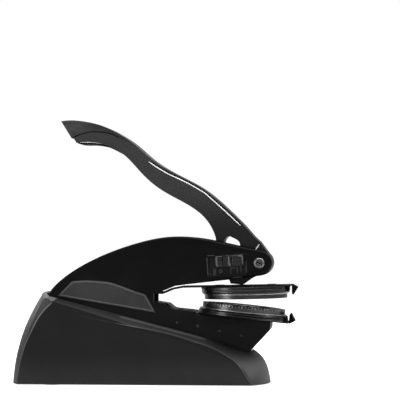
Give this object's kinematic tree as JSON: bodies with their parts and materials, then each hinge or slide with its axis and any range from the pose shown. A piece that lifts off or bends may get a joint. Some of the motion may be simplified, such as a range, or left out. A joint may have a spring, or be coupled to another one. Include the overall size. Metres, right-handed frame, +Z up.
{
  "type": "seal embosser",
  "caption": "Desk seal embosser: a lever press held nose-down in a wedge-shaped weighted cradle, closing two round dies on a sheet of paper.",
  "frame": {"origin": "on the desk, midway along the length between the back of the cradle and the tip of the upper leaf's hook, on the centre plane of the press", "axes": "+X toward the front where the paper goes in, +Z up, +Y to the far side of the picture"},
  "size_m": [0.1424, 0.0498, 0.1306],
  "materials": {
    "cradle": "satin moulded, fine grain",
    "floor": "moulded, matte",
    "ballast": "rough cast",
    "foot": "matte",
    "screw": "zinc plated",
    "body": "satin black",
    "pin": "ground",
    "plate": "matte dark grey",
    "core": "satin dark grey",
    "handle": "smooth satin dark grey",
    "cap": "smooth satin dark grey",
    "bearing": "turned, darkened",
    "washer": "plain",
    "spring": "spring wire",
    "cup": "moulded",
    "leaf": "black oxide",
    "holder": "darkened, turned",
    "die": "darkened, brushed",
    "clip": "bright spring steel",
    "rivet": "plain",
    "bezel": "semi-gloss black",
    "slider": "semi-gloss dark grey"
  },
  "bodies": {
    "press_and_cradle": {"cradle_shell": "cradle", "cradle_floor": "floor", "ballast_plate": "ballast", "rubber_feet": "foot", "floor_screws": "screw", "press_screws": "screw", "press_half_near": "body", "press_half_far": "body", "jaw_pins": "pin", "body_screws": "screw", "nameplate_near": "plate", "nameplate_far": "plate", "pivot_sleeve": "bearing", "pivot_screw": "bearing", "pivot_nut": "bearing", "pivot_washers": "washer", "return_spring": "spring", "spring_cup": "cup", "lock_bezel": "bezel"},
    "lever": {"lever_core": "core", "lever_handle": "handle", "grip_cap": "cap", "handle_pins": "pin"},
    "die_set": {"die_clip": "clip", "lower_leaf": "leaf", "lower_holder": "holder", "lower_die": "die", "lower_rivets": "rivet", "clip_rivets": "rivet"},
    "upper_jaw": {"upper_leaf": "leaf", "upper_holder": "holder", "upper_die": "die", "upper_rivets": "rivet"},
    "lock": {"lock_slider": "slider", "lock_pin": "pin", "lock_washer": "washer"}
  },
  "joints": [
    {"name": "handle_pivot", "type": "hinge", "parent": "press_and_cradle", "child": "lever", "pos_m": [0.05251, 0, 0.0598], "axis": [0, -1, 0], "range_deg": [0, 16], "stiffness_Nm_per_rad": 0.5, "springref_deg": -20.05, "deforming": ["return_spring"]},
    {"name": "die_set_slide", "type": "slide", "parent": "press_and_cradle", "child": "die_set", "axis": [0.9951, 0, -0.0993], "range_m": [0, 0.072]},
    {"name": "upper_jaw_flex", "type": "hinge", "parent": "die_set", "child": "upper_jaw", "pos_m": [0.0147, 0, 0.0479], "axis": [0, 1, 0], "range_deg": [0, 6.8], "stiffness_Nm_per_rad": 0.4, "springref_deg": -6.88},
    {"name": "lock_slide", "type": "slide", "parent": "press_and_cradle", "child": "lock", "axis": [-0.9976, 0, -0.0698], "range_m": [0, 0.0034]}
  ],
  "couplings": [
    {"joint": "upper_jaw_flex", "follows": "handle_pivot", "ratio": 0.425}
  ]
}
